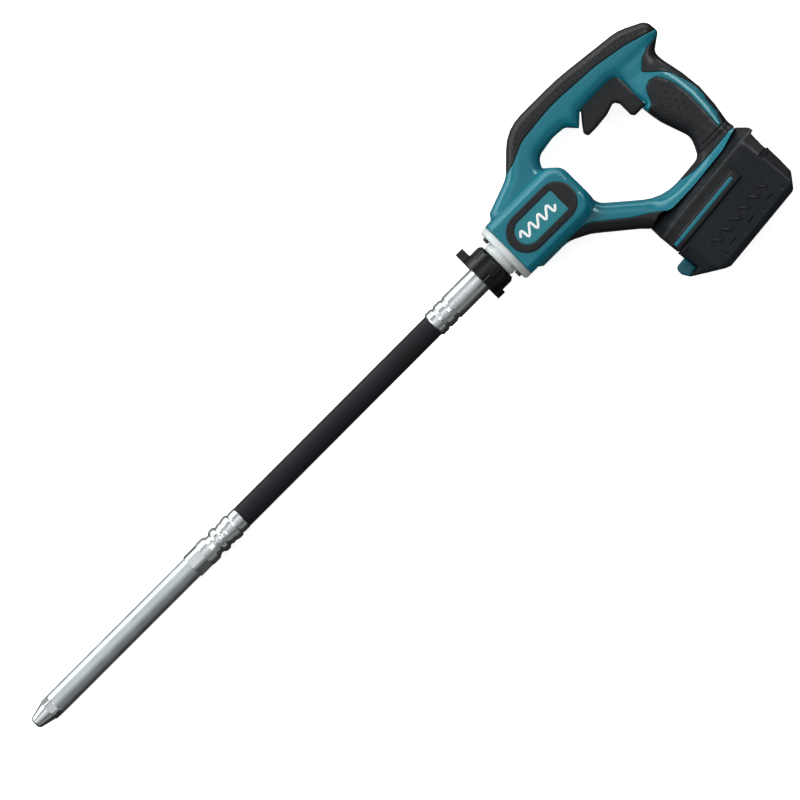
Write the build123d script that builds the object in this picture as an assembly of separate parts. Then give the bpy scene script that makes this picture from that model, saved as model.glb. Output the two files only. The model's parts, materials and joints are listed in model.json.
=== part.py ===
from build123d import *
from math import radians, tan
import os

# Cordless concrete vibrator (poker): D-handle power unit, flexible shaft and vibrating head.
# The tool lies on its right side, on the battery's flank, the right badge ring and the ferrules
# of the shaft. Every piece is modelled in the tool's own axes: x runs along the shaft from the
# tip of the head, y points to the front bar of the handle, z out of the tool's left side, and
# the motor's axis is y = z = 0. TO_ROW then places it: +X to the handle, +Z up, floor at z = 0.

# ---- driving dimensions, in millimetres ----
OVERALL = 959.5  # tip of the head to the crown of the handle
FRONT_REACH = 90.0  # motor axis to the outside of the front bar
REAR_REACH = 172.7  # motor axis to the outside of the battery
BATTERY_WIDTH = 80.0
AXIS_HEIGHT = BATTERY_WIDTH / 2  # the motor axis above the floor

HEAD_R = 12.5  # a 25 mm poker head
HEAD_BORE_R = 10.0
HOSE_R = 12.4
HOSE_BORE_R = 7.2
LINER_R = 7.0
LINER_BORE_R = 5.2
CORE_R = 4.0
SHAFT_R = 4.0
FERRULE_R = 14.3  # the widest part of both hose ferrules
HEAD_DROP = AXIS_HEIGHT - FERRULE_R  # the head lies this far below the motor axis

CONE_END = 19.6
TUBE_START = 29.9
TUBE_END = 229.7
HOSE_START = 302.3
HOSE_END = 582.0
RING_START = 649.4
RING_END = 674.7
FLANGE_START = 683.4
HOUSING_START = 691.0

BARREL_HALF_WIDTH = 34.0
BARREL_HALF_DEPTH = 38.5
BARREL_CORNER_R = 12.5
BARREL_LENGTH = 188.0  # from x = 600, in front of the housing
BAR_HALF_DEPTH = 17.0
GRIP_HALF_DEPTH = 19.0
STRUT_HALF_DEPTH = 18.0
SHOE_HALF_DEPTH = 38.0
WALL = 3.0
SKIN = 2.5  # overmoulds and battery walls
SLOT_HALF = 9.6  # the trigger's slot, to each side of the middle plane
TRIGGER_HALF = 9.0
TRIGGER_PIVOT = (899.0, 9.5)
TRIGGER_PIN_R = 2.0
TRIGGER_PIN_HALF = 11.5
PLUNGER_Y = 50.0
PLUNGER_R = 2.5
GUARD_PROUD = 0.4  # the soft grips stand this far above the housing
PAD_THICKNESS = 1.5
FOOT_FLARE = 8.5  # the foot of the grip widens by this towards the shoe
BOSSES = [(735, 45), (800, 61), (929, 2)]  # screws that hold the two halves together
BOSS_R = 4.0
BOLT_CIRCLE_R = 27.3  # nose flange screws
BOLT_ANGLES = (30, 150, 210, 330)
BADGE_X = 738.5
BADGE_SIZE = (86.4, 42.2)
PLATE_PROUD = 0.8
MOTOR_START = 720.0  # stator and magnets
MOTOR_END = 750.0

SLIDE_TILT = 5.5  # degrees between the battery rails and the motor axis
SLIDE_TOP = (950.7, -91.3)  # the upper end of the rails
CELL_R = 10.6
CELL_PITCH = 21.6
BLADE_Z = 14.0
LID_INSET = 0.7

NECK_BEARING = (699.0, 706.0)
TAIL_BEARING = (757.0, 764.0)
BEARING_R = 11.0
HEAD_BEARING_R = 8.0
CLEAR = 0.05  # radial clearance of a running fit

TO_ROW = Location((-OVERALL / 2, (REAR_REACH - FRONT_REACH) / 2, AXIS_HEIGHT))
HEAD_AXIS = Pos(0, 0, -HEAD_DROP)
BATTERY = Pos(*SLIDE_TOP, 0) * Rot(0, 0, SLIDE_TILT)

# ---- outlines of the side view, as corners (x, y, fillet radius) ----
BODY = [
    (691, 34, 0), (700, 34.5, 3), (705, 41, 4), (742, 54.5, 30), (778, 90, 50), (850, 90, 260),
    (930, 81, 50), (958.3, 67, 12), (960, 51, 5), (941.5, 38, 9), (942.3, 26, 60), (951.8, -20, 130),
    (944.3, -66, 18), (946, -75, 4), (934, -78, 8), (919, -82.4, 30), (872, -87.4, 80),
    (838, -88.5, 20), (828, -82, 8), (811, -88, 3), (803, -80, 14), (764, -48, 50), (742, -37, 30),
    (706, -37, 2), (702, -33.6, 1.5), (691, -33.6, 0),
]
HAND_OPENING = [
    (843.6, 48.8, 0.8), (896.5, 48.8, 9), (896.5, 6, 1), (892.6, 6, 1), (894, -5, 40),
    (896, -17, 50), (907.5, -50, 17), (898, -70.5, 11), (868, -73, 20), (842, -74.5, 55),
    (790.5, -30.6, 16), (790, 21, 12), (775, 35, 4), (781.5, 46, 14), (806, 50, 40),
    (822, 48.6, 8), (831.8, 37.6, 1.2),
]
FRONT_GUARD = [
    (741, 56, 0), (757, 59.5, 12), (779, 69.5, 30), (826, 74.5, 150), (888, 71, 80),
    (925, 64.5, 40), (970, 51, 0), (970, 130, 0), (741, 130, 0),
]
THUMB_REST = [
    (975, 48.8, 0), (939.4, 47, 8), (928, 42.5, 10), (917.5, 33, 1), (925, 25.5, 14),
    (938, 14, 30), (947.2, -16, 40), (946.6, -30, 2), (944.2, -33, 2), (943.8, -50, 6),
    (937.5, -62, 2), (937.5, -73.5, 0), (975, -73.5, 0),
]
STRUT_GUARD = [
    (741, -36, 0), (759, -36, 20), (770, -38.5, 20), (806, -67, 60), (822, -76.5, 20),
    (834, -85.5, 0), (834, -110, 0), (741, -110, 0),
]
GRIP_PAD = [
    (917, 21.5, 3), (925.5, 18.5, 5), (933, 3, 25), (936, -18, 60), (935, -45, 60), (934, -61, 3),
    (937.5, -64, 2), (937.5, -73.5, 2), (908, -76.3, 30), (884, -77, 10), (869, -74.5, 0.8),
    (869, -60, 0.4), (898, -50, 4), (890, -17, 10), (888, -4, 6), (902, 3, 8), (908, 17, 8),
]
TRIGGER = [
    (852, 58, 3), (890, 58, 10), (899, 55, 2), (899, 24, 3), (904.5, 14, 5), (904.5, 4.5, 4),
    (893.5, 6.1, 3), (882, 6.1, 3), (879.5, 10, 3), (879.5, 26, 5), (875.5, 31.5, 4),
    (862, 27, 20), (845, 25.3, 20), (833, 25.3, 3), (831.6, 31, 3), (838, 39.5, 8), (845.5, 48.5, 8),
]
TRIGGER_SLOT = [
    (826, 34, 0), (826, 56, 3), (840, 68, 4), (905, 68, 4), (909, 40, 3), (911, 1.5, 4),
    (892, 1.5, 0), (884, 20, 0), (860, 34, 0),
]

# ---- outlines of the battery and its shoe: x along the rails, y towards the handle ----
PACK = [
    (0, -24, 1), (-1.2, -40, 10), (-3.2, -56, 3), (-17, -70.6, 6), (-118, -70.6, 7),
    (-151.5, -45.6, 0.5), (-139.5, -45.6, 0.5), (-139.2, -24, 1),
]
BUTTON = [
    (-139.8, -45.3, 0.3), (-151.2, -45.3, 1), (-154.6, -38, 4), (-153.6, -29, 5), (-139.8, -29, 0.5),
]
SHOE = [
    (-3.5, 16.2, 1.5), (4.4, 6, 1.5), (4.6, 0.6, 0.5), (0.6, 0, 0.5), (-2, -21, 2), (-138.4, -21, 2),
    (-138.5, 19, 2.5), (-122, 22, 3), (-104, 14, 3), (-20, 15, 5),
]

HOSE_ROUTE = [
    (HOSE_START, 0, -HEAD_DROP), (382, 0, -HEAD_DROP), (502, 0, 0), (HOSE_END, 0, 0),
]


# ---- shapes that repeat ----
def outline(corners, grow=0.0):
    """A flat face from corners with fillets, grown outward by grow."""
    points = [(x, y) for x, y, _ in corners]
    face = make_face(FilletPolyline(*points, radius=[r for _, _, r in corners], close=True))
    return offset(face, amount=grow) if grow else face


def slab(face, low, high):
    """The flat face thickened from z = low to z = high."""
    return Pos(0, 0, low) * extrude(face, amount=high - low, dir=(0, 0, 1))


def block(x, y, z):
    """A box between three pairs of limits."""
    limits = (x, y, z)
    return Pos(*[(a + b) / 2 for a, b in limits]) * Box(*[b - a for a, b in limits])


def pin(radius, length):
    """A round bar standing on z = 0."""
    return Cylinder(radius, length, align=(Align.CENTER, Align.CENTER, Align.MIN))


def rod(start, end, radius, bore=0.0):
    """A round bar or tube along the shaft axis."""
    shape = pin(radius, end - start)
    if bore:
        shape -= pin(bore, end - start)
    return Pos(start, 0, 0) * Rot(0, 90, 0) * shape


def cross_pin(x, y, low, high, radius):
    """A round bar across the tool."""
    return Pos(x, y, low) * pin(radius, high - low)


def turned(corners):
    """A solid of revolution about the shaft axis from (x, radius, fillet) corners."""
    return revolve(outline(corners), Axis.X, 360)


def around(shape, count, start=0.0):
    """Copies of a shape, evenly spaced about the shaft axis."""
    return [Rot(start + 360 * i / count, 0, 0) * shape for i in range(count)]


def ball_bearing(start, end, outer, inner):
    """Two races and their balls, as separate solids."""
    race = (outer - inner) / 4
    middle = (outer + inner) / 2
    ball = Pos((start + end) / 2, middle, 0) * Sphere((outer - inner) / 2 - race - CLEAR)
    return Compound([rod(start, end, outer, outer - race), rod(start, end, inner + race, inner)]
                    + around(ball, 7))


def coil_spring(length, radius, wire, turns):
    """A compression spring standing on z = 0."""
    path = Helix(pitch=(length - 2 * wire) / turns, height=length - 2 * wire, radius=radius)
    section = Plane(origin=path @ 0, z_dir=path % 0) * Circle(wire)
    return Pos(0, 0, wire) * sweep(section, path=path, is_frenet=True)


def bend_radii(route):
    """The largest arc that each corner of a route has room for."""
    points = [Vector(*p) for p in route]
    radii = []
    for before, here, after in zip(points, points[1:], points[2:]):
        turn = radians((here - before).get_angle(after - here))
        shorter = min((here - before).length, (after - here).length)
        radii.append(0.45 * shorter / tan(turn / 2))
    return radii


def tube(route, radii, outer, bore=0.0):
    """A round bar or tube along straight runs joined by tangent arcs."""
    path = FilletPolyline(*route, radius=radii)
    section = Circle(outer) - Circle(bore) if bore else Circle(outer)
    return sweep(Plane(origin=path @ 0, z_dir=path % 0) * section, path=path), path.length


def half(shape, side):
    """The part of a shape on the left (side = 1) or the right (side = -1) of the middle plane."""
    depth = (0, 60) if side > 0 else (-60, 0)
    return shape & block((600, 1000), (-200, 130), depth)


# ---- vibrating head ----
def head():
    cap = turned([
        (0, 0, 0), (0, 4.6, 1.5), (2, 7, 1.5), (CONE_END, 11.3, 0.4), (CONE_END + 0.6, 12.2, 0.3),
        (TUBE_START, HEAD_R, 0), (TUBE_START, HEAD_BORE_R - CLEAR, 0),
        (42, HEAD_BORE_R - CLEAR, 0.5), (42, HEAD_BEARING_R + CLEAR, 0),
        (36, HEAD_BEARING_R + CLEAR, 0), (36, 5, 0), (35, 4, 0), (35, 0, 0),
    ])
    for flat in around(block((CONE_END, TUBE_START - 1.2), (11.3, 15), (-9, 9)), 6, 30):
        cap -= flat
    cap -= rod(32, 33.8, 11, 8.4)
    weight = rod(52, 204, 8.5) & block((52, 204), (-9, 9), (-9, -0.5))
    rotor = rod(36.5, 226, SHAFT_R - CLEAR) + weight + rod(224, 246, 6)
    rotor -= rod(232, 246, CORE_R + 2 * CLEAR)
    seal = Rot(0, 90, 0) * Torus(9.15, 0.75)
    pieces = {
        "head_cap": cap,
        "head_tube": rod(TUBE_START, TUBE_END, HEAD_R, HEAD_BORE_R),
        "eccentric_rotor": rotor,
        "head_bearings": Compound([ball_bearing(36.5, 41.5, HEAD_BEARING_R, SHAFT_R),
                                   ball_bearing(214.5, 219.5, HEAD_BEARING_R, SHAFT_R)]),
        "head_seals": Compound([Pos(32.9, 0, 0) * seal, Pos(226, 0, 0) * seal]),
        "lower_hose_ferrule": lower_ferrule(),
    }
    return {name: HEAD_AXIS * shape for name, shape in pieces.items()}


def lower_ferrule():
    """Crimped steel end of the hose, screwed into the head tube."""
    shape = turned([
        (HOSE_START, 4.9, 0), (HOSE_START, 12.8, 0.6), (294.3, 12.8, 0.8), (292.6, 12.1, 0.8),
        (290.6, 14.1, 1.2), (285.5, 14.1, 2), (281, 12.7, 2), (278.5, 13.4, 1.5), (275, 12, 1.6),
        (272, 14.3, 1.8), (267.5, 14.3, 2.2), (263.6, 11.7, 2), (261.6, 11.7, 2), (257, 14.3, 2.4),
        (248.6, 14.3, 1.2), (247.2, 13.8, 0.4), (TUBE_END, 13.8, 0.8),
        (TUBE_END, HEAD_BORE_R - CLEAR, 0), (214, HEAD_BORE_R - CLEAR, 0.5),
        (214, HEAD_BEARING_R + CLEAR, 0), (220, HEAD_BEARING_R + CLEAR, 0), (220, 7, 0),
        (248, 7, 0), (250, 4.9, 0),
    ])
    for flat in around(block((TUBE_END - 1, 246.4), (12.8, 16), (-10, 10)), 6, 15):
        shape -= flat
    return shape - rod(225.1, 226.9, 11, 8.4)


# ---- flexible shaft ----
def flexible_shaft():
    radii = bend_radii(HOSE_ROUTE)
    print("hose bend radii, mm:", [round(r) for r in radii])
    hose, length = tube(HOSE_ROUTE, radii, HOSE_R, HOSE_BORE_R)
    print("hose length, mm:", round(length, 1))
    core_route = [(233, 0, -HEAD_DROP)] + HOSE_ROUTE[1:-1] + [(681, 0, 0)]
    return {
        "hose": hose,
        "hose_liner": tube(HOSE_ROUTE, radii, LINER_R, LINER_BORE_R)[0],
        "flexible_core": tube(core_route, radii, CORE_R)[0],
    }


# ---- quick coupling between the shaft and the power unit ----
def coupling():
    ferrule = turned([
        (HOSE_END, 4.9, 0), (HOSE_END, 12.9, 0.4), (583.6, 14.3, 0.8), (591, 14.3, 1.2),
        (593.3, 12.5, 1.6), (595.6, 14.3, 1.8), (603.4, 14.3, 2), (606.2, 12.7, 2),
        (609, 14.3, 1.6), (652.6, 14.3, 0), (652.6, 16.4, 0.4), (658, 16.4, 0.4), (658, 12.4, 0),
        (674, 12.4, 0.5), (674, 7, 0), (662, 7, 0), (660, 4.9, 0),
    ])
    ring = turned([
        (RING_START, 14.4, 0), (RING_START, 24.4, 1.2), (671.2, 24.4, 1), (RING_END, 22, 0.8),
        (RING_END, 17.5, 0), (671.2, 17.5, 0), (671.2, 20.6, 0), (652.4, 20.6, 0), (652.4, 14.4, 0),
    ])
    lug = fillet(block((RING_START, 659.2), (21.5, 35), (-6.5, 6.5)).edges().filter_by(Axis.X), 1.5)
    for piece in around(lug, 3, 180 + 47):
        ring += piece
    for groove in around(Pos(0, 25.4, 0) * rod(660.5, RING_END, 1.5), 12, 15):
        ring -= groove
    for notch in around(block((670, 676), (17, 20.6), (-2.6, 2.6)), 3, 60):
        ring -= notch
    flange = turned([
        (658.2, 12.45, 0), (658.2, 17.4, 0.5), (674.9, 17.4, 0), (674.9, 18.6, 0),
        (676.6, 18.6, 0), (676.6, 19.6, 0.5), (FLANGE_START, 19.6, 0), (FLANGE_START, 31.8, 1),
        (685.6, 33.7, 1), (HOUSING_START, 33.7, 0.5), (HOUSING_START, 16, 0), (708, 16, 0.5),
        (708, BEARING_R + CLEAR, 0), (698.8, BEARING_R + CLEAR, 0), (698.8, 8, 0), (674.4, 8, 0),
        (674.4, 12.45, 0),
    ])
    for bayonet in around(Pos(666, 16, 0) * Rot(-90, 0, 0) * pin(2, 4.2), 3):
        flange += bayonet
    screws = []
    for turn in BOLT_ANGLES:
        spot = Rot(turn, 0, 0) * Pos(0, BOLT_CIRCLE_R, 0)
        flange -= spot * rod(FLANGE_START - 1, HOUSING_START + 1, 2)
        bolt = rod(FLANGE_START - 2.8, FLANGE_START, 3.5) + rod(FLANGE_START, 700, 1.9)
        bolt -= rod(FLANGE_START - 2.8, FLANGE_START - 1, 1.6)
        screws.append(spot * bolt)
    drive = rod(670, 697, 6.5) - rod(670, 682.5, CORE_R + 2 * CLEAR) - rod(683.5, 697, SHAFT_R)
    return {
        "upper_hose_ferrule": ferrule,
        "lock_ring": ring,
        "nose_flange": flange,
        "nose_flange_screws": Compound(screws),
        "drive_coupling": drive,
    }


# ---- brushless motor ----
def motor():
    magnets = rod(MOTOR_START, MOTOR_END, 16.5, 14.6)
    for slot in around(block((719, 751), (10, 20), (-1.5, 1.5)), 4):
        magnets -= slot
    fan = rod(708.6, 716, 7, SHAFT_R) + rod(708.6, 710, 25, 6)
    for blade in around(block((709, 716), (6.5, 25), (-0.8, 0.8)), 9):
        fan += blade
    core = rod(MOTOR_START, MOTOR_END, 28.5, 24.5)
    coils = []
    for i in range(6):
        turn = Rot(60 * i, 0, 0)
        core += turn * (block((MOTOR_START, MOTOR_END), (17.2, 25), (-3, 3)) - rod(719, 751, 17.2))
        winding = block((716.5, 753.5), (18.8, 23), (-6.8, 6.8))
        coils.append(turn * (winding - block((719.8, 750.2), (18, 24), (-3.2, 3.2))))
    can = rod(718, 767, 30.8, 28.6) + rod(764.2, 767, 28.8, 6) + rod(757, 764.2, 13.5, BEARING_R + CLEAR)
    return {
        "motor_shaft": rod(684, 765, SHAFT_R - CLEAR),
        "rotor_core": rod(MOTOR_START, MOTOR_END, 14.5, SHAFT_R),
        "rotor_magnets": magnets,
        "cooling_fan": fan,
        "stator_core": core,
        "stator_coils": Compound(coils),
        "sensor_board": rod(755, 756.4, 27, 14),
        "motor_can": can,
        "motor_bearings": Compound([ball_bearing(*NECK_BEARING, BEARING_R, SHAFT_R),
                                    ball_bearing(*TAIL_BEARING, BEARING_R, SHAFT_R)]),
        "controller": block((769, 783), (-24, 14), (-26, 26)),
    }


# ---- housing, overmoulds and badges ----
def envelope(shrink=0.0):
    """The depth of the housing: the barrel, the bars, the thicker hand grip and its flared foot."""
    bar, grip_side = BAR_HALF_DEPTH - shrink, GRIP_HALF_DEPTH - shrink
    bars = block((600, 1000), (-200, 130), (-bar, bar))
    grip = block((886 + shrink, 975), (-80, 30), (-grip_side, grip_side))
    width, depth = 2 * (BARREL_HALF_WIDTH - shrink), 2 * (BARREL_HALF_DEPTH - shrink)
    section = RectangleRounded(width, depth, BARREL_CORNER_R - shrink)
    barrel = Pos(600, 0, 0) * extrude(Plane.YZ * section, amount=BARREL_LENGTH - shrink)
    wide = bar + FOOT_FLARE
    sides = [(-77.6, -bar), (-77.6, bar), (-88, wide), (-95, wide), (-95, -wide), (-88, -wide)]
    foot = Pos(826, 0, 0) * extrude(Plane.YZ * make_face(Polyline(*sides, close=True)), amount=134)
    return bars + grip + barrel + foot


def housing():
    body = outline(BODY)
    core = outline(BODY, -WALL) - outline(HAND_OPENING, WALL)
    guards = {
        "front_guard": (FRONT_GUARD, BAR_HALF_DEPTH + GUARD_PROUD),
        "thumb_rest": (THUMB_REST, GRIP_HALF_DEPTH + GUARD_PROUD),
        "strut_guard": (STRUT_GUARD, STRUT_HALF_DEPTH),
    }
    shell_face = body - outline(HAND_OPENING)
    pieces = {}
    for name, (edge, depth) in guards.items():
        region = body & outline(edge)
        shell_face -= region
        core -= outline(edge, WALL)
        inside = outline(BODY, -SKIN) & outline(edge, -SKIN)
        guard = slab(region, -depth, depth) - slab(inside, SKIN - depth, depth - SKIN)
        pieces[name + "_left"] = half(guard, 1)
        pieces[name + "_right"] = half(guard, -1)
    shell = slab(shell_face, -BARREL_HALF_DEPTH, BARREL_HALF_DEPTH) & envelope()
    hollow = slab(core, -BARREL_HALF_DEPTH, BARREL_HALF_DEPTH) & envelope(WALL)
    inner = GRIP_HALF_DEPTH - WALL
    shell = shell - hollow + [cross_pin(x, y, -inner, inner, BOSS_R) for x, y in BOSSES]
    shell += [cross_pin(*TRIGGER_PIVOT, low, low + inner - SLOT_HALF, 5) for low in (SLOT_HALF, -inner)]
    shell -= slab(outline(TRIGGER_SLOT), -SLOT_HALF, SLOT_HALF)
    shell -= rod(HOUSING_START - 1, 696, 16.1)
    pin_room = TRIGGER_PIN_HALF + 2 * CLEAR
    shell -= cross_pin(*TRIGGER_PIVOT, -pin_room, pin_room, TRIGGER_PIN_R + CLEAR)
    shell -= BATTERY * block((-36, -20), (4, 16), (-7, 7))
    screws = []
    for x, y in BOSSES:
        shell -= cross_pin(x, y, -20, -12, 3.8) + cross_pin(x, y, -12, 10, 1.6)
        screws.append(cross_pin(x, y, -15, -12, 3.4) + cross_pin(x, y, -12, 8, 1.5))
    for turn in BOLT_ANGLES:
        shell -= Rot(turn, 0, 0) * Pos(0, BOLT_CIRCLE_R, 0) * rod(HOUSING_START - 1, 696, 2)
    pad = outline(GRIP_PAD) & shell_face
    for side, name in ((1, "left"), (-1, "right")):
        pieces["housing_" + name] = half(shell, side)
        low = GRIP_HALF_DEPTH if side > 0 else -GRIP_HALF_DEPTH - PAD_THICKNESS
        pieces["grip_pad_" + name] = slab(pad, low, low + PAD_THICKNESS)
        ring, plate = badge()
        flip = Rot(0, 0, 0) if side > 0 else Rot(180, 0, 0)
        pieces["badge_ring_" + name] = flip * ring
        pieces["badge_plate_" + name] = flip * plate
    pieces["housing_screws"] = Compound(screws)
    return pieces


def badge():
    """The raised ring and its inlay on the flat of the barrel's left side."""
    face = Pos(BADGE_X, 0) * SlotOverall(*BADGE_SIZE)
    inlay = outline([(764.3, -13.8, 2), (764.3, 13.8, 2), (704.6, 13.8, 13.7), (704.6, -13.8, 13.7)])
    ring = slab(face - inlay, BARREL_HALF_DEPTH, AXIS_HEIGHT)
    return ring, slab(inlay, BARREL_HALF_DEPTH, BARREL_HALF_DEPTH + PLATE_PROUD)


# ---- trigger and switch ----
def trigger():
    x, y = TRIGGER_PIVOT
    lever = slab(outline(TRIGGER), -TRIGGER_HALF, TRIGGER_HALF)
    lever = fillet(lever.edges().filter_by(lambda e: abs(abs(e.center().Z) - TRIGGER_HALF) < 0.01), 0.9)
    lever -= cross_pin(x, y, -12, 12, TRIGGER_PIN_R + 2 * CLEAR)
    lever -= Pos(0, 36, 0) * rod(896, 900, 4.2)
    body = block((911, 929), (47.5, 58.5), (-9.5, 9.5))
    body -= Pos(0, PLUNGER_Y, 0) * rod(911, 928, PLUNGER_R + CLEAR)
    return {
        "trigger": lever,
        "trigger_pin": cross_pin(x, y, -TRIGGER_PIN_HALF, TRIGGER_PIN_HALF, TRIGGER_PIN_R),
        "trigger_spring": Pos(896.2, 36, 0) * Rot(0, 90, 0) * coil_spring(17, 3, 0.4, 7),
        "switch_body": body,
        "switch_plunger": Pos(0, PLUNGER_Y, 0) * rod(899.4, 921, PLUNGER_R),
        "wiring": wiring(),
    }


def wiring():
    """Leads from the battery terminals to the controller and the switch."""
    power = [(922, -86.8), (920, -78.6), (905, -76.7), (872, -80.4), (843, -81), (803, -54.5),
             (781, -36), (776, -28), (776, -24.1)]
    signal = [(915, 47.3), (914.5, 40), (908, 29), (910, 17), (914, 8), (918, -10), (920, -45),
              (917, -66), (919, -78), (921.5, -86.8)]
    leads = []
    for z, route in ((2.4, power), (-2.4, power), (5.4, signal), (-5.4, signal)):
        points = [(x, y, z) for x, y in route]
        leads.append(tube(points, [5] * (len(points) - 2), 1.4)[0])
    return Compound(leads)


# ---- battery shoe and slide-in battery ----
def shoe():
    shape = slab(outline(SHOE), -SHOE_HALF_DEPTH, SHOE_HALF_DEPTH)
    shape -= block((-145, 10), (-30, 0.3), (-31, 31))
    for side in (1, -1):
        shape += block((-136, -4), (-11.7, -6.3), (27.3, 31) if side > 0 else (-31, -27.3))
    shape -= block((-140, -126), (0, 3.2), (-6, 6))
    shape -= block((-45, -12), (0, 6.5), (-22, 22))
    shape -= block((-36, -20), (4, 16), (-7, 7))
    shape = BATTERY * shape - slab(outline(BODY), -60, 60)
    holder = block((-44.9, -12.1), (0.5, 6.4), (-21.9, 21.9))
    blades = []
    for z in (-BLADE_Z, BLADE_Z):
        holder -= block((-38, -15), (0, 5), (z - 0.4, z + 0.4))
        blades.append(block((-38, -15), (-11, 5), (z - 0.4, z + 0.4)))
    return {
        "battery_shoe": shape,
        "terminal_block": BATTERY * holder,
        "terminal_blades": BATTERY * Compound(blades),
    }


def battery():
    wide = BATTERY_WIDTH / 2
    tub = slab(outline(PACK), -wide, wide) - slab(outline(PACK, -SKIN), SKIN - wide, wide - SKIN)
    tub -= block((-136.7, -2.5), (-27, -20), (SKIN - wide, wide - SKIN))
    tub += block((-137, -127), (-60, -50), (-5, 5)) & slab(outline(PACK), -wide, wide)
    tub -= block((-145, -136), (-41.6, -25), (-7.5, 7.5))
    tub -= block((-153, -139.7), (-49.9, -45), (-15.3, 15.3))
    lid_side = wide - LID_INSET
    lid = block((-139, -0.2), (-23.9, -21.4), (-lid_side, lid_side))
    rail = block((-137, -1.5), (-21.4, -1), (-30.5, 30.5)) - block((-134.5, -4), (-24, -3.5), (-28, 28))
    lid = lid - block((-134.5, -4), (-24, -21), (-28, 28)) + rail
    lid += block((-42, -3), (-16, -3), (-18, 18))
    for side in (1, -1):
        lid -= block((-140, 0), (-12, -6), (27, 31) if side > 0 else (-31, -27))
        lid += block((-134.5, -4), (-12.5, -5.5), (24.5, 27) if side > 0 else (-27, -24.5))
    clips = []
    for z in (-BLADE_Z, BLADE_Z):
        lid -= block((-40, 0), (-14, 0), (z - 1.6, z + 1.6))
        clips += [block((-38, -16), (-13.5, -2), (z + a, z + a + 0.4)) for a in (-1.6, 1.2)]
    lid -= block((-136, -126.5), (-26, 0), (-5.6, 5.6))
    cells = []
    for i in range(5):
        for row in (-57.2, -35.7):
            cells.append(cross_pin(-23 - CELL_PITCH * i, row, -35, 35, CELL_R))
    button = slab(outline(BUTTON), -15, 15)
    button += block((-140, -131), (-37, -31), (-7, 7)) + block((-134, -131), (-32, -1), (-5, 5))
    button += block((-135, -128), (-1.5, 2.2), (-5, 5))
    pieces = {
        "battery_tub": tub,
        "battery_lid": lid,
        "battery_cells": Compound(cells),
        "battery_board": block((-122, -46), (-20.5, -19), (-23, 23)),
        "battery_terminals": Compound(clips),
        "release_button": button,
        "button_spring": Pos(-132.5, -49.8, 0) * Rot(-90, 0, 0) * coil_spring(12.6, 2.6, 0.4, 6),
    }
    return {name: BATTERY * shape for name, shape in pieces.items()}


os.makedirs("parts", exist_ok=True)
for group in (head, flexible_shaft, coupling, motor, housing, trigger, shoe, battery):
    for name, shape in group().items():
        export_step(TO_ROW * shape, f"parts/{name}.step")
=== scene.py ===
import json
from cmath import phase, rect
from math import ceil, copysign, cos, pi, radians, sin, tan

import bpy
import numpy as np
from mathutils import Matrix, Vector, geometry

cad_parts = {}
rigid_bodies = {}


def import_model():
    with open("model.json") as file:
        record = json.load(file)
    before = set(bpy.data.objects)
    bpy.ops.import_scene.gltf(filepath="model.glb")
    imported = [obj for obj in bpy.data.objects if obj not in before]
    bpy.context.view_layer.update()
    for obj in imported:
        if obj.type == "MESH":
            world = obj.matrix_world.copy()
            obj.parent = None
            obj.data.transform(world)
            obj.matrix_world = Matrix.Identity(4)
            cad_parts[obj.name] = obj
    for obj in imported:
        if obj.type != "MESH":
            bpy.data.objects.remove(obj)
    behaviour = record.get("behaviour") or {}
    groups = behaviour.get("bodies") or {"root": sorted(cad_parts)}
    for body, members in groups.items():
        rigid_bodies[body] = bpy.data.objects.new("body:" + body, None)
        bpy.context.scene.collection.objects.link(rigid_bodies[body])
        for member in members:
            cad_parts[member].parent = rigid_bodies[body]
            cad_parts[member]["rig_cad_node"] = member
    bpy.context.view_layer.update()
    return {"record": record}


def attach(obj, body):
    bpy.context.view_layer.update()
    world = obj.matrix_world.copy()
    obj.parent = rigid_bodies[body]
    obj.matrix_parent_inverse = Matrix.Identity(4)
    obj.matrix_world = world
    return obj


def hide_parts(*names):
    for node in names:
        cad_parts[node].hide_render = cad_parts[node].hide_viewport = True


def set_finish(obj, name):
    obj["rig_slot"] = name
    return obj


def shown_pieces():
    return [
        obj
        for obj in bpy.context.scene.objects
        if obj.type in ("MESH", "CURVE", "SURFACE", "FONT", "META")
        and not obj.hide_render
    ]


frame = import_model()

# The tool's own axes, in millimetres, are those of the CAD source: x along the shaft from the
# tip of the head, y to the front bar, z out of the left side, the motor axis at y = z = 0.
MM = 0.001
MOTOR_HEIGHT = 0.040  # of the motor axis above the floor, in metres
TOOL = Matrix.Translation((-0.47975, 0.04135, MOTOR_HEIGHT)) @ Matrix.Scale(MM, 4)
PACK_FRAME = TOOL @ Matrix.Translation((950.7, -91.3, 0)) @ Matrix.Rotation(radians(5.5), 4, "Z")
MIRROR = Matrix.Scale(-1, 4, (0, 0, 1))
HALF_TURN = MIRROR @ Matrix.Scale(-1, 4, (0, 1, 0))
TOOL_SIDES = (("left", TOOL), ("right", TOOL @ HALF_TURN))
PACK_SIDES = (("left", PACK_FRAME), ("right", PACK_FRAME @ MIRROR))

# ---- camera ----
VIEW_CENTRE = (0.02375, 0.01145)
VIEW_WIDTH = 0.824
LENS = 300
SENSOR = 36
camera = bpy.data.objects.new("camera", bpy.data.cameras.new("camera"))
camera.data.lens = LENS
camera.data.sensor_width = SENSOR
camera.data.clip_end = 50
camera.location = (*VIEW_CENTRE, MOTOR_HEIGHT + VIEW_WIDTH * LENS / SENSOR)
camera.rotation_euler = (0, 0, radians(-45))
bpy.context.scene.collection.objects.link(camera)
bpy.context.scene.camera = camera

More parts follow.
